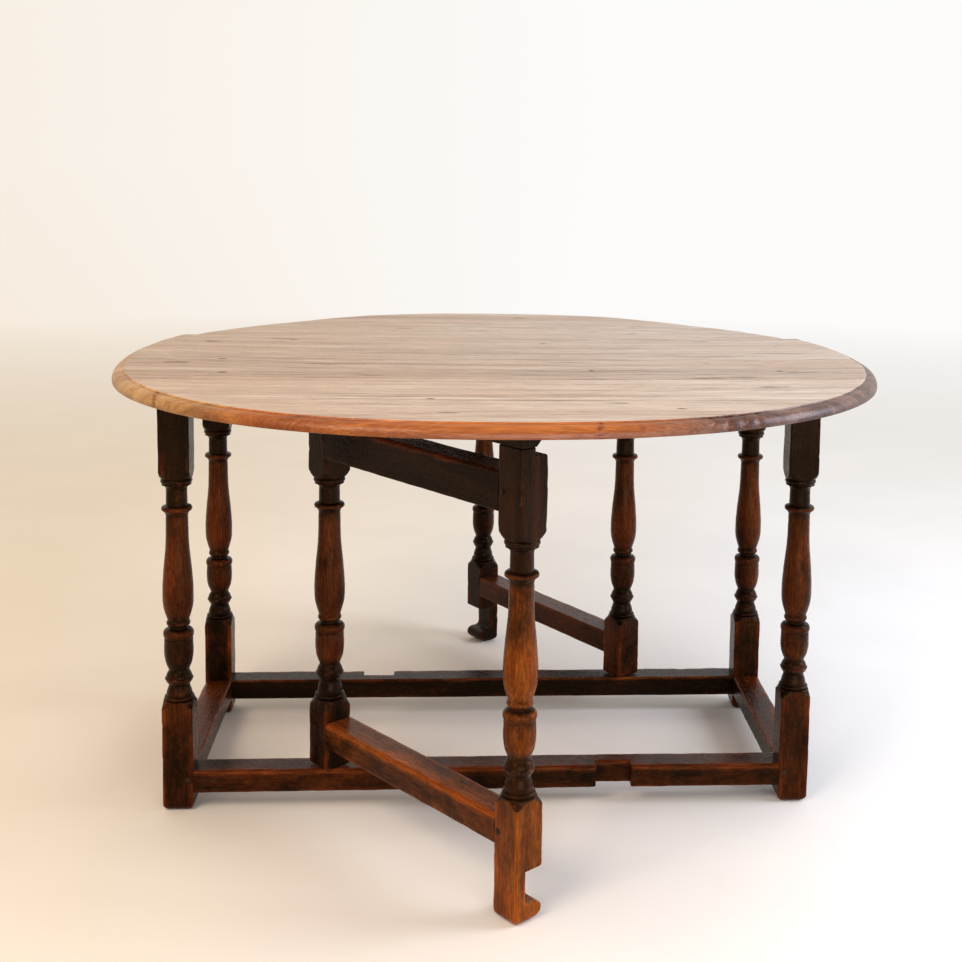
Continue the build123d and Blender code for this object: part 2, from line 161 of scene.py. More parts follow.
def rectangles(low_a, high_a, low_b, high_b, radii):
    """Rounded rectangles, one to a row, anticlockwise from the corner (high_a, high_b), each corner with
    its own radius. Also gives how near each point of a rectangle is to a corner."""
    corners = (
        (high_a, high_b, -1, -1), (low_a, high_b, 1, -1),
        (low_a, low_b, 1, 1), (high_a, low_b, -1, 1),
    )
    arcs = []
    for k, (a, b, inward_a, inward_b) in enumerate(corners):
        r = radii[:, k : k + 1]
        turn = np.linspace(k, k + 1, CORNER_STEPS + 1) * math.pi / 2
        a = a[:, None] + inward_a * r + r * np.cos(turn)
        b = b[:, None] + inward_b * r + r * np.sin(turn)
        arcs.append(np.stack((a, b), 2))
    loops, near = [], []
    t = np.linspace(0, 1, FLAT_STEPS + 2)[1:-1]
    for k, arc in enumerate(arcs):
        following = arcs[(k + 1) % 4]
        loops += [arc, arc[:, -1:] * (1 - t[:, None]) + following[:, :1] * t[:, None]]
        near += [np.ones(CORNER_STEPS + 1), np.exp(-np.minimum(t, 1 - t) * 14)]
    return np.concatenate(loops, 1), np.concatenate(near)


def end_ease(distance, radius):
    """How far a rounded end draws a surface in, at a distance from the end."""
    rest = np.clip(1 - np.asarray(distance, float) / radius, 0, 1)
    return radius * (1 - np.sqrt(1 - rest**2))


def make_mesh(name, place, points, faces, attributes):
    """A smooth mesh with sharp edges kept, from points in millimetres in the directions of place."""
    mesh = bpy.data.meshes.new(name)
    mesh.from_pydata((np.asarray(points) * MM).tolist(), [], faces)
    mesh.transform(place)
    for key, values in attributes.items():
        values = np.asarray(values, np.float32)
        kind, field = ("FLOAT_VECTOR", "vector") if values.ndim == 2 else ("FLOAT", "value")
        mesh.attributes.new(key, kind, "POINT").data.foreach_set(field, values.ravel())
    mesh.shade_smooth()
    mesh.set_sharp_from_angle(angle=math.radians(38))
    return mesh


def add_piece(name, mesh, material, slot, body, *replaced):
    """The mesh as an object that rides on a body in place of the CAD nodes that it replaces."""
    piece = bpy.data.objects.new(name, mesh)
    bpy.context.scene.collection.objects.link(piece)
    mesh.materials.append(material)
    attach(piece, body)
    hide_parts(*replaced)
    return piece


def loft(name, place, loops, attributes):
    """The closed mesh through loops of points, one above another."""
    rows, count = loops.shape[:2]
    lower = np.arange(rows - 1)[:, None] * count + np.arange(count)
    beside = np.arange(rows - 1)[:, None] * count + (np.arange(count) + 1) % count
    faces = np.stack((lower, beside, beside + count, lower + count), 2).reshape(-1, 4).tolist()
    faces += [list(range(count))[::-1], list(range((rows - 1) * count, rows * count))]
    flat = {k: v.reshape(-1, 3) if v.ndim == 3 else v.ravel() for k, v in attributes.items()}
    return make_mesh(name, place, loops.reshape(-1, 3), faces, flat)


def at(x, y, angle=0):
    """Directions turned about +Z by an angle in degrees, from a point on the floor in millimetres."""
    return Matrix.Translation((x * MM, y * MM, 0)) @ Matrix.Rotation(math.radians(angle), 4, "Z")


def turned_heights(foot, head, lifts):
    """Heights of the rows of a turned piece, the radius of its turning at each and how worn it is there."""
    turning = np.concatenate([through(stretch)[:-1] for stretch in TURNING] + [TURNING[-1][-1:]])
    radius, height = turning.T
    height = height + np.interp(height, TURNING_KEYS, lifts)
    around = np.array([radius[np.abs(height - z) < 9].clip(0, 28).mean() for z in height])
    worn = np.interp(height, *zip(*TURNING_WEAR)) + (radius.clip(0, 28) - around) * 0.07
    low_notch = np.linspace(12, 34, 18), (28.1,), np.linspace(38, 76, 8), (79.8, 80, 81, 83)
    ends = np.linspace(0, 10, 9), foot + np.linspace(0, 10, 9)
    low = np.unique(np.concatenate((*ends, *low_notch, np.arange(88, height[0] - 1, 5))))
    high_notch = (681, 683.8, 684, 684.8)
    high = np.concatenate((np.arange(594, head - 8, 5), high_notch, head - np.linspace(8, 0, 7)))
    high = np.unique(high)
    low, high = low[low >= foot], high[high <= head]
    heights = np.concatenate((low, height, high))
    radii = np.concatenate((np.full(len(low), SQUARE), radius, np.full(len(high), SQUARE)))
    worn = np.concatenate((np.zeros(len(low)), worn, np.zeros(len(high))))
    return heights, radii, worn


def turned_mesh(name, place, foot, head, seed, lifts, blocks=(0.2, 0.1), inner_side=None, pintles=0):
    """A square piece with the turning that all the posts share, raised by lifts at TURNING_KEYS. blocks
    says how worn its lower and upper faces are, inner_side cuts its +y side back, and pintles is how far
    the round ends stand out of it."""
    z, radius, worn = turned_heights(foot, head, lifts)
    ease = end_ease(z - foot, 12 if foot == 0 else 6) + end_ease(head - z, 1.5)
    sides = [HALF - 0.35 * (1 + ripple(z, seed + k, 170)) - ease for k in range(4)]
    if inner_side:
        sides[2] = np.minimum(sides[2], np.interp(z, *zip(*inner_side)) - 0.3 * ease)
    dents = [np.clip(ripple(z, seed + 10 + k, 55), 0, 1) ** 3 * 3.5 for k in range(4)]
    radii = np.stack([3 + 0.9 * ripple(z, seed + 20 + k, 90) + dents[k] for k in range(4)], 1)
    loops, near = rectangles(-sides[0], sides[1], -sides[3], sides[2], radii)
    if pintles:
        reach = np.array([foot - pintles, foot - 0.05]), np.array([head + 0.05, head + pintles])
        z = np.concatenate((reach[0], z, reach[1]))
        ends = np.full(2, PINTLE_RADIUS)
        radius = np.concatenate((ends, radius, ends))
        worn = np.concatenate(((0, 0), worn, (0, 0)))
        loops = np.concatenate((loops[:1], loops[:1], loops, loops[-1:], loops[-1:]))
    from_axis = np.hypot(loops[..., 0], loops[..., 1])
    limit = (radius + 0.12 * ripple(z, seed + 5, 23))[:, None]
    share = np.clip(0.5 + (limit - from_axis) / 1.6, 0, 1)
    turned = limit * (1 - share) + from_axis * share - 0.8 * share * (1 - share)
    turned = np.where(limit > SQUARE / 2, from_axis, turned)
    loops = loops * (turned / np.maximum(from_axis, 1e-6))[..., None]
    low = z < 200
    face = np.where(low, blocks[0], blocks[1])[:, None]
    rubbed = (0.45 + 0.35 * ripple(z, seed + 30, 120))[:, None]
    scuffed = np.clip(near * rubbed, 0, 1) * np.where(low, 1, 0.3)[:, None]
    block_wear = face + (1 - face) * scuffed
    turning_wear = (worn * (0.85 + 0.2 * ripple(z, seed + 31, 200)))[:, None]
    wear = np.where((share < 0.5) | (limit < 27), turning_wear, block_wear)
    points = np.concatenate((loops, np.broadcast_to(z[:, None, None], (*loops.shape[:2], 1))), 2)
    grain = points[..., (2, 0, 1)] * MM + np.array((seed * 0.37, seed * 0.11, 0))
    return loft(name, place, points, {"grain": grain, "wear": np.clip(wear, 0, 1)})


def bar_mesh(name, place, ends, height, seed, arris=5, worn=(0.2, 0.6), lap=None):
    """A rail along x, as deep as the posts, its outer top edge worn to a radius near arris. worn says how
    worn its sides and its top are, and lap is where its outer side is cut back for a gate leg."""
    x = np.arange(ends[0] - 1, ends[1] + 1, 6.0)
    outer = np.full(2, -HALF)
    knots = np.array((ends[0] - 2, ends[1] + 2), float)
    if lap:
        start = lap[0] + np.array((-3, -0.8, 0, 0.1))
        stop = lap[1] - np.array((0.1, 0, -0.8, -3))
        knots = np.concatenate((knots[:1], start, stop, knots[1:]))
        shoulder = -HALF + np.array((0, 0, 1, 2.6, LAP_DEPTH))
        outer = np.concatenate((shoulder, shoulder[::-1]))
    x = np.unique(np.concatenate((x[(x > ends[0] - 1)], (ends[0] - 1, ends[1] + 1), knots[1:-1])))
    low_y = np.interp(x, knots, outer) + 0.3 * (1 + ripple(x, seed, 410))
    high_y = HALF - 0.3 * (1 + ripple(x, seed + 1, 390))
    low_z = height[0] + 0.35 * (1 + ripple(x, seed + 2, 430))
    high_z = height[1] - 0.45 * (1 + ripple(x, seed + 3, 380))
    dents = np.clip(ripple(x, seed + 6, 130), 0, 1) ** 3 * 4
    radii = np.stack((
        2.2 + 0.8 * ripple(x, seed + 4, 90),
        arris + 0.22 * arris * ripple(x, seed + 5, 120) + dents,
        2.4 + 0.8 * ripple(x, seed + 7, 70),
        1.8 + 0.5 * ripple(x, seed + 8, 80),
    ), 1)
    loops, near = rectangles(low_y, high_y, low_z, high_z, radii)
    points = np.concatenate((np.broadcast_to(x[:, None, None], (*loops.shape[:2], 1)), loops), 2)
    up = np.clip((loops[..., 1] - low_z[:, None]) / (high_z - low_z)[:, None] * 4 - 3, 0, 1)
    outward = np.clip(1 - (loops[..., 0] - low_y[:, None]) / 40, 0, 1)
    wear = worn[0] + (worn[1] - worn[0]) * up * (0.35 + 0.65 * outward)
    wear = wear + (1 - wear) * near * (0.25 + 0.5 * up) * (0.8 + 0.4 * ripple(x, seed + 9, 140)[:, None])
    grain = points * MM + np.array((seed * 0.37, seed * 0.11, 0))
    return loft(name, place, points, {"grain": grain, "wear": np.clip(wear, 0, 1)})


# Materials

def linear(code):
    """A colour from its sRGB hexadecimal code."""
    parts = [int(code[k : k + 2], 16) / 255 for k in (0, 2, 4)]
    return [p / 12.92 if p <= 0.04045 else ((p + 0.055) / 1.055) ** 2.4 for p in parts] + [1]


def add(tree, kind, values=(), **settings):
    """A shader node with its settings, and a value or a link for each of the inputs named."""
    node = tree.nodes.new(kind)
    for key, value in settings.items():
        setattr(node, key, value)
    for key, value in dict(values).items():
        if isinstance(value, bpy.types.NodeSocket):
            tree.links.new(value, node.inputs[key])
        else:
            node.inputs[key].default_value = value
    return node


def attribute(tree, name, output="Fac"):
    return add(tree, "ShaderNodeAttribute", attribute_name=name).outputs[output]


def cloud(tree, vector, cycles, detail=3, distortion=0):
    """Noise with so many cycles to the metre along the grain and across it."""
    along, across = cycles
    rates = (along, across, across)
    scaled = add(tree, "ShaderNodeVectorMath", {0: vector, 1: rates}, operation="MULTIPLY")
    values = {"Vector": scaled.outputs[0], "Scale": 1, "Detail": detail, "Distortion": distortion}
    return add(tree, "ShaderNodeTexNoise", values).outputs["Fac"]


def calculate(tree, operation, *values, clamp=False):
    return add(tree, "ShaderNodeMath", enumerate(values), operation=operation, use_clamp=clamp).outputs[0]


def span(tree, value, start, end, low=0, high=1):
    """value taken from the range start to end to the range low to high, and held there beyond it."""
    values = {"Value": value, "From Min": start, "From Max": end, "To Min": low, "To Max": high}
    return add(tree, "ShaderNodeMapRange", values).outputs[0]


def blend(tree, factor, first, second, mode="MIX"):
    values = {0: factor, 6: first, 7: second}
    return add(tree, "ShaderNodeMix", values, data_type="RGBA", blend_type=mode).outputs[2]


def ramp(tree, factor, stops):
    """Colours by a factor, from stops of (position, sRGB code)."""
    node = add(tree, "ShaderNodeValToRGB", {"Fac": factor})
    elements = node.color_ramp.elements
    elements[0].position, elements[1].position = stops[0][0], stops[-1][0]
    for position, _ in stops[1:-1]:
        elements.new(position)
    for element, (_, code) in zip(elements, stops):
        element.color = linear(code)
    return node.outputs["Color"]


def new_material(name):
    material = bpy.data.materials.new(name)
    material.use_nodes = True
    material.node_tree.nodes.clear()
    return material, material.node_tree


def surface(tree, colour, roughness, height, depth, **constants):
    """The shader: depth is the bump's, in metres, and the constants are values of the shader's inputs."""
    bump = add(tree, "ShaderNodeBump", {"Height": height, "Distance": depth, "Strength": 1})
    values = {"Base Color": colour, "Roughness": roughness, "Normal": bump.outputs[0]}
    shader = add(tree, "ShaderNodeBsdfPrincipled", {**values, **constants})
    output = add(tree, "ShaderNodeOutputMaterial")
    tree.links.new(shader.outputs[0], output.inputs[0])


def dark_oak(name, tones, worn_tones, plain=False):
    """Dark polished oak: the wear of a piece shows the wood's own colour through the patina. A plain one is
    for parts without wear of their own, and takes its grain from the object's coordinates."""
    material, tree = new_material(name)
    if plain:
        grain = add(tree, "ShaderNodeTexCoord").outputs["Object"]
        wear = 0.12
    else:
        grain, wear = attribute(tree, "grain", "Vector"), attribute(tree, "wear")
    growth = cloud(tree, grain, (3.5, 34), 3, 0.8)
    fibre = cloud(tree, grain, (20, 520), 5)
    pores = span(tree, cloud(tree, grain, (75, 1500), 2), 0.58, 0.68)
    patches = cloud(tree, grain, (7, 13), 4, 0.4)
    scuffs = cloud(tree, grain, (60, 110), 5, 0.8)
    tone = calculate(tree, "MULTIPLY_ADD", fibre, 0.45, calculate(tree, "MULTIPLY", growth, 0.6))
    patina = ramp(tree, tone, tones)
    figure = calculate(tree, "MULTIPLY_ADD", growth, 0.35, calculate(tree, "MULTIPLY", fibre, 0.65))
    bare = ramp(tree, figure, worn_tones)
    loose = calculate(tree, "MULTIPLY_ADD", calculate(tree, "SUBTRACT", scuffs, 0.5), 0.55, wear)
    loose = calculate(tree, "MULTIPLY_ADD", calculate(tree, "SUBTRACT", patches, 0.5), 0.7, loose)
    colour = blend(tree, span(tree, loose, 0.16, 0.86), patina, bare)
    grime = span(tree, patches, 0.3, 0.62, 0.62, 1)
    grime = calculate(tree, "MULTIPLY", grime, span(tree, pores, 0, 1, 1, 0.55))
    colour = blend(tree, 1, colour, grime, "MULTIPLY")
    roughness = span(tree, scuffs, 0.3, 0.7, 0.17, 0.36)
    height = calculate(tree, "MULTIPLY_ADD", scuffs, 0.9, fibre)
    height = calculate(tree, "MULTIPLY_ADD", pores, -0.6, height)
    tint = linear("e8b98a")
    surface(tree, colour, roughness, height, 0.0003, **{"Specular IOR Level": 0.2, "Specular Tint": tint})
    return material


def top_oak(name, tones, seed, marks):
    """Faded, dry oak for a plank, with the marks that lie on it: knots and cracks as (x, y, half length,
    half width) in millimetres. Its moulding keeps the old brown polish, with a painted warm glare on the
    left and a painted cool reflection on the right, and the plank is tinted by painted side light."""
    material, tree = new_material(name)
    place = attribute(tree, "grain", "Vector")
    edge, dirt = attribute(tree, "edge"), attribute(tree, "dirt")
    grain = add(tree, "ShaderNodeVectorMath", {0: place, 1: (seed * 1.3, seed * 0.7, seed)}).outputs[0]
    growth = cloud(tree, grain, (1.1, 30), 5, 0.9)
    streaks = cloud(tree, grain, (9, 210), 6, 0.3)
    fibre = cloud(tree, grain, (26, 520), 5)
    pores = span(tree, cloud(tree, grain, (36, 420), 3), 0.56, 0.66)
    clouds = cloud(tree, grain, (2.6, 9), 4, 0.6)
    flecks = span(tree, cloud(tree, grain, (34, 150), 3, 0.4), 0.6, 0.7)
    specks = span(tree, cloud(tree, grain, (70, 150), 3), 0.66, 0.73)
    tone = calculate(tree, "MULTIPLY_ADD", streaks, 0.55, calculate(tree, "MULTIPLY", growth, 0.42))
    colour = ramp(tree, tone, tones)
    colour = blend(tree, span(tree, clouds, 0.35, 0.68, 0, 0.5), colour, linear("c3a48b"))
    colour = blend(tree, span(tree, flecks, 0, 1, 0, 0.22), colour, linear("e0cdb6"))
    parts = add(tree, "ShaderNodeSeparateXYZ", {0: place}).outputs
    # Painted light: the top is tinted warmer on the left, where the warm light falls, and whiter on the
    # right, where the window's sheen lies.
    light_side_mask = calculate(tree, "MULTIPLY_ADD", calculate(tree, "SUBTRACT", clouds, 0.5), 0.5, parts["X"])
    painted_side_light = blend(tree, span(tree, light_side_mask, -0.55, 0.45), linear("f8ecdc"), linear("ffffff"))
    colour = blend(tree, 1, colour, painted_side_light, "MULTIPLY")
    shade = span(tree, fibre, 0.3, 0.7, 0.8, 1.08)
    shade = calculate(tree, "MULTIPLY", shade, span(tree, pores, 0, 1, 1, 0.8))
    shade = calculate(tree, "MULTIPLY", shade, span(tree, specks, 0, 1, 1, 0.62))
    colour = blend(tree, 1, colour, shade, "MULTIPLY")
    hollow = span(tree, dirt, 0, 1, 0, 0.12)
    wobble = calculate(tree, "SUBTRACT", cloud(tree, grain, (70, 160), 3), 0.5)
    wobble = calculate(tree, "MULTIPLY", wobble, 1.7)
    for x, y, long, wide in marks:
        away = add(tree, "ShaderNodeVectorMath", {0: place, 1: (x * MM, y * MM, 0)}, operation="SUBTRACT")
        scale = (1 / (long * MM), 1 / (wide * 0.8 * MM), 0)
        away = add(tree, "ShaderNodeVectorMath", {0: away.outputs[0], 1: scale}, operation="MULTIPLY")
        distance = add(tree, "ShaderNodeVectorMath", {0: away.outputs[0]}, operation="LENGTH")
        distance = calculate(tree, "ADD", distance.outputs["Value"], wobble)
        hollow = calculate(tree, "MAXIMUM", hollow, span(tree, distance, 0.55, 1.15, 1, 0))
    colour = blend(tree, calculate(tree, "MULTIPLY", hollow, 0.85), colour, linear("2a1a10"))
    figure = calculate(tree, "MULTIPLY_ADD", fibre, 0.4, calculate(tree, "MULTIPLY", growth, 0.6))
    polish_and_glare = ramp(tree, figure, ((0.3, "4f230c"), (0.48, "96501c"), (0.66, "bf7430")))
    # Painted light on the moulding: a warm glare towards the left and a cool, greyish reflection towards
    # the right, over the old brown polish.
    warm_glare = ramp(tree, figure, ((0.3, "7c4f26"), (0.48, "b0804a"), (0.66, "cfa469")))
    cool_reflection = ramp(tree, figure, ((0.3, "38211a"), (0.48, "5f4034"), (0.66, "8a6b5c")))
    polish_and_glare = blend(tree, span(tree, light_side_mask, -0.28, -0.5), polish_and_glare, warm_glare)
    polish_and_glare = blend(tree, span(tree, light_side_mask, 0.12, 0.34), polish_and_glare, cool_reflection)
    # The moulding is darker towards its underside and lighter at its top.
    polish_and_glare = blend(tree, 1, polish_and_glare, span(tree, parts["Z"], 0.718, 0.738, 0.62, 1.08), "MULTIPLY")
    colour = blend(tree, span(tree, edge, 0.25, 0.6), colour, polish_and_glare)
    bruise = ramp(tree, streaks, ((0.35, "3f140b"), (0.6, "8a4a30")))
    colour = blend(tree, attribute(tree, "chip"), colour, bruise)
    matt = span(tree, streaks, 0.3, 0.7, 0.38, 0.54)
    roughness = calculate(tree, "MULTIPLY_ADD", edge, -0.14, matt)
    height = calculate(tree, "MULTIPLY_ADD", streaks, 1.2, fibre)
    height = calculate(tree, "MULTIPLY_ADD", pores, -0.5, height)
    height = calculate(tree, "MULTIPLY_ADD", hollow, -3, height)
    surface(tree, colour, roughness, height, 0.00035, **{"Specular IOR Level": 0.5})
    return material


def wrought_iron():
    material, tree = new_material("wrought_iron")
    place = add(tree, "ShaderNodeTexCoord").outputs["Object"]
    hammered = cloud(tree, place, (90, 90), 2)
    rust = cloud(tree, place, (300, 300), 6, 0.4)
    colour = ramp(tree, rust, ((0.35, "1d1a18"), (0.55, "342821"), (0.72, "63351c")))
    height = calculate(tree, "MULTIPLY_ADD", rust, 0.3, hammered)
    surface(tree, colour, span(tree, rust, 0.35, 0.7, 0.42, 0.85), height, 0.0008, Metallic=0.55)
    return material


def peg_oak():
    material, tree = new_material("oak_peg")
    place = add(tree, "ShaderNodeTexCoord").outputs["Object"]
    rings = cloud(tree, place, (420, 420), 4, 0.5)
    spots = cloud(tree, place, (25, 25), 2)
    dark = ramp(tree, rings, ((0.35, "0c0603"), (0.65, "24130a")))
    light = ramp(tree, rings, ((0.35, "180c06"), (0.65, "3c2110")))
    colour = blend(tree, span(tree, spots, 0.4, 0.6), dark, light)
    roughness = span(tree, rings, 0.3, 0.7, 0.4, 0.6)
    surface(tree, colour, roughness, rings, 0.0004, **{"Specular IOR Level": 0.3})
    return material


# Tones of the oak, from its darkest streaks to its lightest, as (place, sRGB code)
DARK = ((0.34, "090401"), (0.52, "160a04"), (0.72, "2a1509"))
BROWN = ((0.3, "421b09"), (0.5, "6a3011"), (0.7, "8c4a1e"))
WARM_DARK = ((0.34, "100602"), (0.52, "2a1408"), (0.72, "48250e"))
WARM_BROWN = ((0.3, "62290b"), (0.5, "924a17"), (0.7, "b87029"))
frame_oak = dark_oak("oak_frame", DARK, BROWN)
gate_oak = dark_oak("oak_front_gate", WARM_DARK, WARM_BROWN)
plain_oak = dark_oak("oak_frame_plain", DARK, BROWN, plain=True)
iron, pegs = wrought_iron(), peg_oak()


# Posts, stretchers and gates

POSTS = {  # which corner, how far each height of the turning is raised, and how worn the two blocks are
    "front_left": (-1, -1, (3, -5, -3, 0, 0), (0.34, 0.1)),
    "front_right": (1, -1, (13, 6, 0, 0, 0), (0.42, 0.1)),
    "back_right": (1, 1, (6, -1, 0, -1, 0), (0.3, 0.06)),
    "back_left": (-1, 1, (6, 0, -2, 0, 0), (0.12, 0.04)),
}
for k, (corner, (sx, sy, lifts, blocks)) in enumerate(POSTS.items()):
    name = f"post_{corner}"
    place = at(sx * POST_X + FRAME_SHIFT, sy * POST_Y)
    mesh = turned_mesh(name, place, 0, UNDERSIDE, 40 + k * 50, lifts, blocks)
    add_piece(f"{name}_oak", mesh, frame_oak, "oak_frame", "frame", name)

SIDES = {  # middle, angle and half length between the posts
    "front": (0, -POST_Y, 0, POST_X - HALF),
    "right": (POST_X, 0, 90, POST_Y - HALF),
    "back": (0, POST_Y, 180, POST_X - HALF),
    "left": (-POST_X, 0, -90, POST_Y - HALF),
}
for k, (side, (x, y, angle, reach)) in enumerate(SIDES.items()):
    name = f"stretcher_{side}"
    lap = LAP if side in GATE_ANGLES else None
    # How worn the sides and the tops are; the left stretcher's very light top is partly wear and partly a
    # painted highlight along its length.
    worn = {"front": (0.3, 0.5), "right": (0.25, 0.62), "back": (0.1, 0.3), "left": (0.3, 0.85)}[side]
    place = at(x + FRAME_SHIFT, y, angle)
    mesh = bar_mesh(name, place, (-reach, reach), STRETCHER, 300 + k * 20, 6, worn, lap)
    add_piece(f"{name}_oak", mesh, frame_oak, "oak_frame", "frame", name)

GATES = {
    "front": (at(FRAME_SHIFT - PIVOT_X, -POST_Y, -GATE_ANGLES["front"]), gate_oak, "oak_front_gate"),
    "back": (at(FRAME_SHIFT + PIVOT_X, POST_Y, 180 - GATE_ANGLES["back"]), frame_oak, "oak_frame"),
}
for k, (gate, (place, oak, slot)) in enumerate(GATES.items()):
    body = f"{gate}_gate"
    front = gate == "front"
    seed = 500 + k * 200
    name = f"{body}_pivot_post"
    post_oak = frame_oak if front else oak
    lifts = (0, 4, 6, 6, 0) if front else (3, 0, 1, -1, 0)
    blocks = (0.16, 0.04) if front else (0.34, 0.1)
    mesh = turned_mesh(name, place, *PIVOT_POST, seed, lifts, blocks, pintles=PINTLE_LENGTH)
    add_piece(f"{name}_oak", mesh, post_oak, slot, body, name)
    name = f"{body}_leg"
    leg_place = place @ Matrix.Translation((GATE_REACH * MM, 0, 0))
    lifts = (0, 0, 3, 0, 0) if front else (0, 0, 0, 0, 0)
    blocks = (0.52, 0) if front else (0.16, 0.04)
    mesh = turned_mesh(name, leg_place, 0, GATE_LEG_TOP, seed + 50, lifts, blocks, LEG_INNER_SIDE)
    add_piece(f"{name}_oak", mesh, oak, slot, body, name)
    for level, height in GATE_RAILS.items():
        name = f"{body}_{level}_rail"
        low = level == "lower"
        worn = (0.32, 0.7) if low else (0, 0.06)
        rail_seed = seed + (100 if low else 120)
        mesh = bar_mesh(name, place, (HALF, GATE_REACH - HALF), height, rail_seed, 5, worn)
        rail_oak = oak if low else frame_oak
        add_piece(f"{name}_oak", mesh, rail_oak, slot, body, name)


# The top

RIM_POINTS = 960
GIRTH = 4128  # the length of the top's edge
FILLET = 4  # height of the straight edge below the moulding's quarter round
ROUND = 15  # radius of the quarter round
# The moulding as (inset, height, edge): edge is 1 where the old polish shows.
MOULDING = [(1.2, UNDERSIDE, 1), (0.3, UNDERSIDE + 0.3, 1), (0, UNDERSIDE + 1.4, 1)]
MOULDING.append((0, UNDERSIDE + FILLET, 1))
for a in np.radians(np.arange(9, 91, 9)):
    MOULDING.append((ROUND - ROUND * math.cos(a), UNDERSIDE + FILLET + ROUND * math.sin(a), 1))
MOULDING += [
    (16.6, 737.1, 1), (17.3, 737.4, 0.9), (17.7, 738.4, 0.7),
    (18.2, 739.4, 0.5), (19.2, 740, 0.2), (22, 740, 0),
]
CHIPS = (  # bruises of the moulding: x, the side of the table, and half length
    (284, -1, 5), (308, -1, 7), (333, -1, 6), (356, -1, 4),
    (121, -1, 5), (-520, -1, 4), (-330, 1, 6), (470, 1, 5),
)
MARKS = (  # knots and cracks: x, y, half length and half width
    (-530, 157, 16, 5), (-409, 207, 22, 5), (-384, 201, 10, 5), (-545, -108, 26, 7), (-478, -59, 10, 6),
    (-455, -203, 11, 8), (-224, -215, 30, 4), (91, 184, 6, 6), (402, 210, 24, 4), (154, -153, 6, 7),
    (339, -232, 34, 5), (402, -226, 30, 3.5), (474, -162, 8, 6), (512, -178, 34, 4), (425, -323, 28, 6),
    (168, -473, 16, 5), (-112, -440, 7, 6), (120, -60, 40, 3), (-300, -100, 36, 3), (280, 330, 12, 4),
    (-180, 390, 18, 4), (60, 560, 14, 6), (-90, -560, 20, 4), (250, -520, 9, 5),
)


def outline(inset):
    """Points round the top's edge, drawn in by an inset."""
    turn = (np.arange(RIM_POINTS) + 0.5) * 2 * math.pi / RIM_POINTS
    power = 2 / TOP_POWER
    circle = np.cos(turn), np.sin(turn)
    rim = [np.sign(f) * np.abs(f) ** power * half for f, half in zip(circle, TOP_HALF)]
    rim = np.stack(rim, 1)
    along = np.roll(rim, -1, 0) - np.roll(rim, 1, 0)
    inward = np.stack((-along[:, 1], along[:, 0]), 1) / np.linalg.norm(along, axis=1)[:, None]
    return rim + inward * np.asarray(inset)[..., None]


def whole_top():
    """The whole top in one mesh, flat, with its worn moulding and its attributes."""
    girth = np.arange(RIM_POINTS) * GIRTH / RIM_POINTS
    uneven = 0.5 * (1 + ripple(girth, 900, GIRTH / 7)) + 0.15 * (1 + ripple(girth, 901, GIRTH / 60))
    rings, edges = [], []
    for inset, z, edge in MOULDING:
        wander = uneven if inset < 16 else uneven + 0.9 * ripple(girth, 902, GIRTH / 23)
        xy = outline(np.maximum(inset + wander, 0))
        rings.append(np.column_stack((xy, np.full(RIM_POINTS, z))))
        edges.append(np.full(RIM_POINTS, edge))
    inner = rings[-1]
    for scale in np.linspace(1, 0, 46)[1:-1]:
        rings.append(inner * (scale, scale, 1))
        edges.append(np.zeros(RIM_POINTS))
    points, edges = np.array(rings), np.array(edges)
    chips = np.zeros(points.shape[:2])
    for x, sign, size in CHIPS:
        near = np.clip(1.3 - np.abs(points[..., 0] - x) / size, 0, 1)
        near *= (edges > 0.8) * (points[..., 1] * sign > 0)
        near *= 0.5 + 0.5 * np.sin(points[..., 0] * 1.1 + points[..., 2] * 0.9 + x)
        chips = np.maximum(chips, near)
    points *= 1 - chips[..., None] * np.array((0.0035, 0.0035, 0.001))
    rows, count = points.shape[:2]
    here = np.arange(rows - 1)[:, None] * count + np.arange(count)
    beside = np.arange(rows - 1)[:, None] * count + (np.arange(count) + 1) % count
    faces = np.stack((here, beside, beside + count, here + count), 2).reshape(-1, 4).tolist()
    faces += [list(range(count))[::-1], list(range((rows - 1) * count, rows * count))]
    zero = np.zeros(points.shape[:2])
    values = {"edge": edges.ravel(), "chip": chips.ravel(), "dirt": zero.ravel()}
    return make_mesh("whole_top", Matrix.Identity(4), points.reshape(-1, 3), faces, values)


def sag(x, y, leaf):
    """How far the upper surface has sunk below the level of the top, in millimetres."""
    middle = 5 * (1 - np.clip(np.abs(x) / 600, 0, 1) ** 2) * np.clip((640 - np.abs(y)) / 330, 0, 1)
    drooping = 5.5 * np.clip((np.abs(x) - 260) / 170, 0, 1) * (leaf == "back")
    return middle + drooping + 0.35 * (1 + ripple(x + 2 * y, 77, 610))


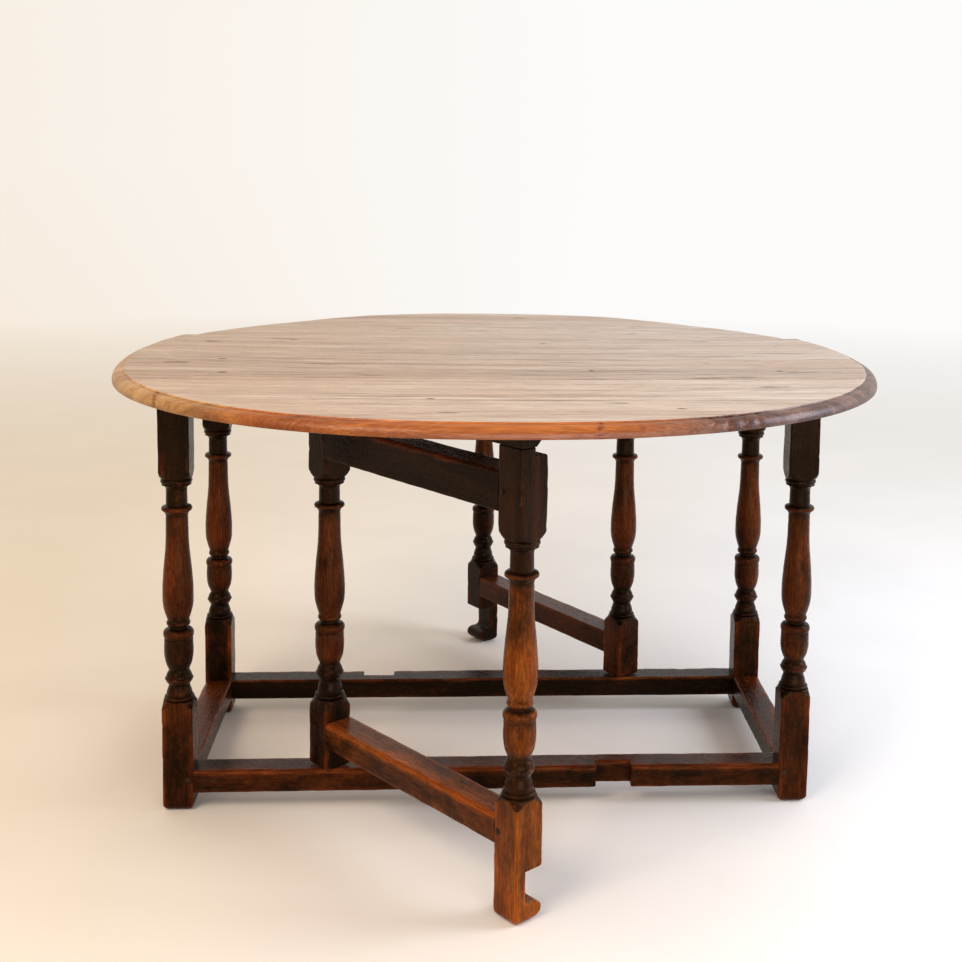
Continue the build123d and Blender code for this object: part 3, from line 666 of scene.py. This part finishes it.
def plank_mesh(name, low, high, whole):
    """The stretch of the top between two lines along X, with eased, dirty long edges."""
    leaf = name.split("_")[0]
    cut = bmesh.new()
    cut.from_mesh(whole)
    dirt = cut.verts.layers.float["dirt"]
    for line, sign in ((low, -1), (high, 1)):
        if abs(line) >= 700:
            continue
        wide = 0.5 if line in (-35, 455, -455) else 0.8
        for setback in (5, wide, 0):
            where = {"plane_co": (0, (line - sign * setback) * MM, 0), "plane_no": (0, sign, 0)}
            geometry = cut.verts[:] + cut.edges[:] + cut.faces[:]
            where["clear_outer"] = setback == 0
            found = bmesh.ops.bisect_plane(cut, geom=geometry, dist=1e-6, **where)["geom_cut"]
        bmesh.ops.holes_fill(cut, edges=[e for e in found if isinstance(e, bmesh.types.BMEdge)], sides=0)
        for vertex in cut.verts:
            inside = sign * (line - vertex.co.y / MM)
            if inside < 4.9 and vertex.co.z > (HEIGHT - 8) * MM:
                vertex[dirt] = 1 if inside < wide + 0.05 else 0
            if inside < 0.05 and vertex.co.z > (HEIGHT - 8) * MM:
                vertex.co.z -= wide * 0.7 * MM
    for vertex in cut.verts:
        x, y, z = vertex.co / MM
        vertex.co.z -= float(sag(x, y, leaf)) * (z - UNDERSIDE) / (HEIGHT - UNDERSIDE) * MM
    mesh = bpy.data.meshes.new(name)
    cut.to_mesh(mesh)
    cut.free()
    places = np.zeros(len(mesh.vertices) * 3, np.float32)
    mesh.vertices.foreach_get("co", places)
    mesh.attributes.new("grain", "FLOAT_VECTOR", "POINT").data.foreach_set("vector", places)
    mesh.shade_smooth()
    mesh.set_sharp_from_angle(angle=math.radians(38))
    return mesh


FADED = {
    "front_leaf": ((0.34, "8f7667"), (0.48, "d5c4b6"), (0.64, "efe3d8")),
    "centre_front": ((0.34, "87705f"), (0.48, "c6b4a7"), (0.64, "e2d5cb")),
    "centre_back": ((0.34, "958072"), (0.48, "d0c1b5"), (0.64, "e6dbd2")),
    "back_leaf": ((0.34, "a08d80"), (0.48, "d3c5ba"), (0.64, "e6dcd4")),
}
whole = whole_top()
for k, (name, (low, high)) in enumerate(PLANKS.items()):
    tones = FADED["centre_" + name.split("_")[-1] if "centre" in name else name[:-12]]
    marks = [m for m in MARKS if low <= m[1] < high]
    body = "frame" if "centre" in name else name[:-12]
    oak = top_oak(f"oak_top_{name}", tones, k + 1, marks)
    add_piece(f"{name}_oak", plank_mesh(name, low, high, whole), oak, "oak_top", body, name)
bpy.data.meshes.remove(whole)

# The heads of the pegs through the centre board, flush with its sunken surface
PEG_POINTS = 24
spots = [(x + FRAME_SHIFT, y) for y in (-POST_Y, POST_Y) for x in (-450, 0, 450)]
rings = ((5, 700), (5, HEIGHT - 0.6), (4.4, HEIGHT - 0.15), (2.4, HEIGHT - 0.05), (0.3, HEIGHT - 0.02))
turn = np.linspace(0, 2 * math.pi, PEG_POINTS + 1)[:-1]
points, faces = [], []
for x, y in spots:
    start, level = len(points), float(sag(x, y, "centre"))
    for radius, z in rings:
        lobes = radius * (1 + 0.05 * np.sin(3 * turn + x) + 0.03 * np.sin(7 * turn + y))
        sunk = z - level * (z > UNDERSIDE)
        points += [(x + r * math.cos(a), y + r * math.sin(a), sunk) for r, a in zip(lobes, turn)]
    for row in range(len(rings) - 1):
        first = start + row * PEG_POINTS
        for j in range(PEG_POINTS):
            a, b = first + j, first + (j + 1) % PEG_POINTS
            faces.append((a, b, b + PEG_POINTS, a + PEG_POINTS))
    faces.append(tuple(range(start, start + PEG_POINTS))[::-1])
    faces.append(tuple(range(len(points) - PEG_POINTS, len(points))))
mesh = make_mesh("top_pegs", Matrix.Identity(4), points, faces, {})
add_piece("top_pegs_oak", mesh, pegs, "oak_peg", "frame", "top_pegs")

# What stays as the CAD has it
for name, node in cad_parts.items():
    if node.hide_render:
        continue
    finish = iron if "hinge" in name or "nails" in name else pegs if "pegs" in name else plain_oak
    node.data.materials.clear()
    node.data.materials.append(finish)


# Floor, light and camera

SKY = 0.98  # strength of the studio's own light


def studio_floor():
    """A large pale sheet that keeps soft shadows near the table and fades to the light of the studio."""
    sheet = bmesh.new()
    bmesh.ops.create_circle(sheet, cap_ends=True, segments=96, radius=60)
    mesh = bpy.data.meshes.new("floor")
    sheet.to_mesh(mesh)
    sheet.free()
    floor = bpy.data.objects.new("floor", mesh)
    bpy.context.scene.collection.objects.link(floor)
    material, tree = new_material("floor_paper")
    place = add(tree, "ShaderNodeTexCoord").outputs["Object"]
    distance = add(tree, "ShaderNodeVectorMath", {0: place}, operation="LENGTH").outputs["Value"]
    direction = add(tree, "ShaderNodeVectorMath", {0: place}, operation="NORMALIZE").outputs[0]
    scuffs = cloud(tree, place, (3, 3), 5, 0.3)
    left = add(tree, "ShaderNodeSeparateXYZ", {0: place}).outputs["X"]
    # Painted light: the paper is warmer towards the left, where the warm light falls, and cool white
    # towards the right.
    colour = blend(tree, span(tree, left, -1.1, 0.9), linear("f0e2ce"), linear("f6f6f7"))
    colour = blend(tree, 1, colour, span(tree, scuffs, 0.35, 0.65, 0.985, 1.01), "MULTIPLY")
    paper = add(tree, "ShaderNodeBsdfDiffuse", {"Color": colour})
    glow = add(tree, "ShaderNodeEmission", {"Color": sky_colour(tree, direction), "Strength": SKY})
    far = span(tree, distance, 2, 7)
    mixed = add(tree, "ShaderNodeMixShader", {0: far, 1: paper.outputs[0], 2: glow.outputs[0]})
    output = add(tree, "ShaderNodeOutputMaterial")
    tree.links.new(mixed.outputs[0], output.inputs[0])
    mesh.materials.append(material)


def sky_colour(tree, direction):
    """The studio's own light by direction: warmer from the left and less from the front."""
    parts = add(tree, "ShaderNodeSeparateXYZ", {0: direction}).outputs
    tint = blend(tree, span(tree, parts["X"], -0.75, 0.1), linear("f6e6d0"), linear("fffefd"))
    return blend(tree, 1, tint, span(tree, parts["Y"], -0.7, 0.5, 0.6, 1), "MULTIPLY")


def area_light(name, place, target, size, watts, colour):
    lamp = bpy.data.lights.new(name, "AREA")
    lamp.shape = "RECTANGLE"
    lamp.size, lamp.size_y = size
    lamp.energy = watts
    lamp.color = linear(colour)[:3]
    light = bpy.data.objects.new(name, lamp)
    bpy.context.scene.collection.objects.link(light)
    light.location = place
    light.rotation_euler = (Vector(target) - Vector(place)).to_track_quat("-Z", "Y").to_euler()


studio_floor()
world = bpy.data.worlds.new("studio")
bpy.context.scene.world = world
world.use_nodes = True
world.node_tree.nodes.clear()
direction = add(world.node_tree, "ShaderNodeTexCoord").outputs["Generated"]
sky = sky_colour(world.node_tree, direction)
background = add(world.node_tree, "ShaderNodeBackground", {0: sky, 1: SKY})
output = add(world.node_tree, "ShaderNodeOutputWorld")
world.node_tree.links.new(background.outputs[0], output.inputs[0])

area_light("key", (-1.6, -2.3, 2.6), (0, 0, 0.5), (1.4, 1.4), 50, "ffecd6")
area_light("window", (2.6, -0.4, 1.5), (0, 0, 0.3), (1.2, 1.6), 45, "e6efff")
area_light("low_fill", (0.6, -3.2, 0.7), (0, 0, 0.1), (2.6, 0.9), 48, "e9f0ff")
bpy.context.scene.view_settings.view_transform = "Standard"
bpy.context.scene.view_settings.gamma = 0.88

YAW, PITCH, ROLL = 0.0669, 0.1159, 0.0162
ahead = Vector((math.sin(YAW) * math.cos(PITCH), math.cos(YAW) * math.cos(PITCH), -math.sin(PITCH)))
level = Vector((math.cos(YAW), -math.sin(YAW), 0))
above = level.cross(ahead)
across = math.cos(ROLL) * level + math.sin(ROLL) * above
up = math.cos(ROLL) * above - math.sin(ROLL) * level
lens = bpy.data.cameras.new("camera")
lens.lens, lens.sensor_width = 53.375, 36
lens.shift_x, lens.shift_y = -0.0727, -0.1728
lens.clip_end = 200
camera = bpy.data.objects.new("camera", lens)
bpy.context.scene.collection.objects.link(camera)
turned = Matrix((across, up, -ahead)).transposed().to_4x4()
camera.matrix_world = Matrix.Translation((-0.0757, -2.531, 1.1074)) @ turned
bpy.context.scene.camera = camera
